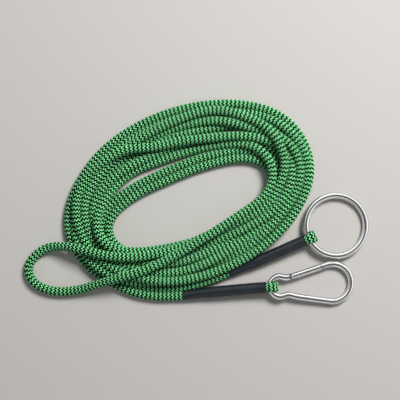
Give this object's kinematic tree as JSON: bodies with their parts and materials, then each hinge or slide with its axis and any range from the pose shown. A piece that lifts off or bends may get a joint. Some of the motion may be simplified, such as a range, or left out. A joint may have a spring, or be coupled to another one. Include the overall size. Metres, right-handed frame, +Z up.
{
  "type": "training leash",
  "caption": "Long round braided training leash, wound doubled into an oval coil, with a wire snap hook spliced into one end and a welded ring into the other.",
  "frame": {"origin": "middle of the footprint, on the surface the leash lies on", "axes": "+X along the longest extent, from the cord's free loop to the ring and hook; +Z up, away from the surface; +Y from the hook's side of the coil to the far side"},
  "size_m": [0.2358, 0.1393, 0.0167],
  "materials": {
    "coil_cord": "braided polyester, light green with black-green flecks",
    "bight_cord": "braided polyester, light green with black-green flecks",
    "lead_cord": "braided polyester, light green with black-green flecks",
    "hook_eye": "braided polyester, light green with black-green flecks",
    "ring_eye": "braided polyester, light green with black-green flecks",
    "hook_sleeve": "satin heat-shrink tube",
    "ring_sleeve": "satin heat-shrink tube",
    "hook_whipping": "waxed thread",
    "ring_whipping": "waxed thread",
    "ring_steel": "polished, nickel plated",
    "hook_steel": "polished, nickel plated",
    "gate_steel": "polished, nickel plated",
    "pin_steel": "polished, nickel plated",
    "latch_steel": "polished, nickel plated",
    "spring_steel": "plain steel",
    "plunger_steel": "plain steel"
  },
  "bodies": {
    "leash": {"cord_coil": "coil_cord", "cord_bight": "bight_cord", "cord_hook_lead": "lead_cord", "hook_cord_eye": "hook_eye", "ring_cord_eye": "ring_eye", "hook_sleeve": "hook_sleeve", "ring_sleeve": "ring_sleeve", "hook_whipping": "hook_whipping", "ring_whipping": "ring_whipping"},
    "hook": {"hook_body": "hook_steel"},
    "gate": {"gate": "gate_steel", "gate_rivet": "pin_steel", "latch_pin": "latch_steel", "gate_spring": "spring_steel"},
    "plunger": {"spring_plunger": "plunger_steel"},
    "ring": {"ring": "ring_steel"}
  },
  "joints": [
    {"name": "hook_swing", "type": "hinge", "parent": "leash", "child": "hook", "pos_m": [0.05062, -0.05879, 0.0056], "axis": [0.0698, -0.9976, 0], "range_deg": [0, 130]},
    {"name": "ring_swing", "type": "hinge", "parent": "leash", "child": "ring", "pos_m": [0.07704, -0.02555, 0.0056], "axis": [0.4226, -0.9063, 0], "range_deg": [0, 90]},
    {"name": "gate_hinge", "type": "hinge", "parent": "hook", "child": "gate", "pos_m": [0.06668, -0.0513, 0.00462], "axis": [-0.0608, 0, -0.9981], "range_deg": [0, 32], "stiffness_Nm_per_rad": 0.01, "springref_deg": -22.92},
    {"name": "plunger_slide", "type": "slide", "parent": "gate", "child": "plunger", "axis": [0.9482, 0.3123, -0.0578], "range_m": [0, 0.0007], "deforming": ["gate_spring"]}
  ],
  "couplings": [
    {"joint": "plunger_slide", "follows": "gate_hinge", "m_per_rad": 0.00118}
  ]
}
